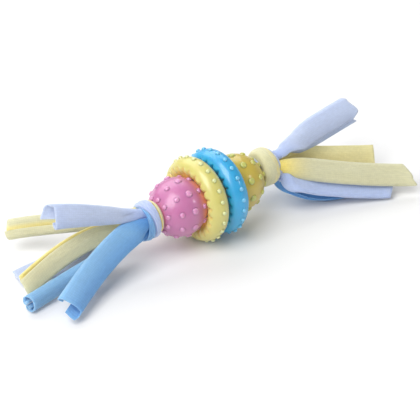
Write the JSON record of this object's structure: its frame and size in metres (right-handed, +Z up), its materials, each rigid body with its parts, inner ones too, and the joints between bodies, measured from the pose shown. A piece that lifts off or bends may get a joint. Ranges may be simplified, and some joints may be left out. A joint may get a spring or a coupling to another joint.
{
  "type": "rubber ball rope dog toy",
  "caption": "Dog chew and tug toy: two nubbed rubber balls nested in two nubbed rubber rings, threaded on a knotted rope of jersey strips with loose tails.",
  "frame": {"origin": "middle of the toy's bounding box, on the surface that it lies on", "axes": "+X along the rope from the pink ball's end to the yellow ball's end, +Z up"},
  "size_m": [0.2762, 0.1144, 0.0574],
  "materials": {
    "pink_ball": "soft translucent thermoplastic rubber, pale magenta pink, satin gloss, nubs paler",
    "yellow_ball": "soft thermoplastic rubber, mustard yellow, satin, nubs greenish yellow",
    "yellow_ring": "soft thermoplastic rubber, pastel yellow, satin gloss",
    "blue_ring": "soft thermoplastic rubber, sky blue, satin gloss",
    "yellow_jersey": "pale cream-yellow cotton jersey with a fine knit, cut edges rolled in",
    "lavender_jersey": "lavender-blue cotton jersey with a fine knit, cut edges rolled in",
    "blue_jersey": "light blue cotton jersey with a fine knit, cut edges rolled in"
  },
  "bodies": {
    "rope": {"strand_blue_1": "blue_jersey", "strand_blue_2": "blue_jersey", "strand_yellow_1": "yellow_jersey", "strand_lavender_1": "lavender_jersey", "strand_yellow_2": "yellow_jersey", "strand_lavender_2": "lavender_jersey", "knot_left_inner_wrap": "yellow_jersey", "knot_left_main_wrap": "lavender_jersey", "knot_left_cross_wrap": "blue_jersey", "knot_right_inner_wrap": "lavender_jersey", "knot_right_main_wrap": "yellow_jersey", "knot_right_collar_wrap": "lavender_jersey"},
    "pink_ball": {"pink_ball": "pink_ball"},
    "yellow_ball": {"yellow_ball": "yellow_ball"},
    "yellow_ring": {"yellow_ring": "yellow_ring"},
    "blue_ring": {"blue_ring": "blue_ring"},
    "tail_left_blue_1": {"tail_left_blue_1": "blue_jersey"},
    "tail_left_blue_2": {"tail_left_blue_2": "blue_jersey"},
    "tail_left_yellow_1": {"tail_left_yellow_1": "yellow_jersey"},
    "tail_left_lavender_1": {"tail_left_lavender_1": "lavender_jersey"},
    "tail_left_yellow_2": {"tail_left_yellow_2": "yellow_jersey"},
    "tail_left_lavender_2": {"tail_left_lavender_2": "lavender_jersey"},
    "tail_right_blue_1": {"tail_right_blue_1": "blue_jersey"},
    "tail_right_blue_2": {"tail_right_blue_2": "blue_jersey"},
    "tail_right_yellow_1": {"tail_right_yellow_1": "yellow_jersey"},
    "tail_right_lavender_1": {"tail_right_lavender_1": "lavender_jersey"},
    "tail_right_yellow_2": {"tail_right_yellow_2": "yellow_jersey"},
    "tail_right_lavender_2": {"tail_right_lavender_2": "lavender_jersey"}
  },
  "joints": [
    {"name": "pink_ball_spin", "type": "hinge", "parent": "rope", "child": "pink_ball", "pos_m": [-0.02331, -0.00884, 0.02871], "axis": [1, 0, 0], "continuous": true},
    {"name": "yellow_ball_spin", "type": "hinge", "parent": "rope", "child": "yellow_ball", "pos_m": [0.02216, -0.00884, 0.02871], "axis": [1, 0, 0], "continuous": true},
    {"name": "yellow_ring_spin", "type": "hinge", "parent": "rope", "child": "yellow_ring", "pos_m": [-0.00843, -0.00884, 0.02871], "axis": [1, 0, 0], "continuous": true},
    {"name": "blue_ring_spin", "type": "hinge", "parent": "rope", "child": "blue_ring", "pos_m": [0.00727, -0.00884, 0.02871], "axis": [1, 0, 0], "continuous": true},
    {"name": "tail_left_blue_1_bend", "type": "hinge", "parent": "rope", "child": "tail_left_blue_1", "pos_m": [-0.05209, -0.01629, 0.03004], "axis": [0, -0.1736, 0.9848], "range_deg": [0, 40]},
    {"name": "tail_left_blue_2_bend", "type": "hinge", "parent": "rope", "child": "tail_left_blue_2", "pos_m": [-0.05209, -0.01282, 0.02277], "axis": [0, -1, 0], "range_deg": [0, 40]},
    {"name": "tail_left_yellow_1_bend", "type": "hinge", "parent": "rope", "child": "tail_left_yellow_1", "pos_m": [-0.05209, -0.00672, 0.02589], "axis": [0, 0.8829, -0.4695], "range_deg": [0, 12]},
    {"name": "tail_left_lavender_1_bend", "type": "hinge", "parent": "rope", "child": "tail_left_lavender_1", "pos_m": [-0.05209, -0.00135, 0.02693], "axis": [0, 0, -1], "range_deg": [0, 40]},
    {"name": "tail_left_yellow_2_bend", "type": "hinge", "parent": "rope", "child": "tail_left_yellow_2", "pos_m": [-0.05209, -0.0026, 0.03336], "axis": [0, 0.5, -0.866], "range_deg": [0, 40]},
    {"name": "tail_left_lavender_2_bend", "type": "hinge", "parent": "rope", "child": "tail_left_lavender_2", "pos_m": [-0.05209, -0.00997, 0.03642], "axis": [0, 0.9962, 0.0872], "range_deg": [0, 40]},
    {"name": "tail_right_blue_1_bend", "type": "hinge", "parent": "rope", "child": "tail_right_blue_1", "pos_m": [0.05373, -0.00884, 0.02091], "axis": [0, 1, 0], "range_deg": [0, 40]},
    {"name": "tail_right_blue_2_bend", "type": "hinge", "parent": "rope", "child": "tail_right_blue_2", "pos_m": [0.05373, -0.00176, 0.02575], "axis": [0, 0.1392, 0.9903], "range_deg": [0, 40]},
    {"name": "tail_right_yellow_1_bend", "type": "hinge", "parent": "rope", "child": "tail_right_yellow_1", "pos_m": [0.05373, -0.00189, 0.0322], "axis": [0, -0.342, 0.9397], "range_deg": [0, 40]},
    {"name": "tail_right_lavender_1_bend", "type": "hinge", "parent": "rope", "child": "tail_right_lavender_1", "pos_m": [0.05373, -0.00884, 0.03651], "axis": [0, -1, 0], "range_deg": [0, 40]},
    {"name": "tail_right_yellow_2_bend", "type": "hinge", "parent": "rope", "child": "tail_right_yellow_2", "pos_m": [0.05373, -0.01579, 0.0322], "axis": [0, -0.342, -0.9397], "range_deg": [0, 40]},
    {"name": "tail_right_lavender_2_bend", "type": "hinge", "parent": "rope", "child": "tail_right_lavender_2", "pos_m": [0.05373, -0.01594, 0.02602], "axis": [0, 0.0349, -0.9994], "range_deg": [0, 40]}
  ]
}
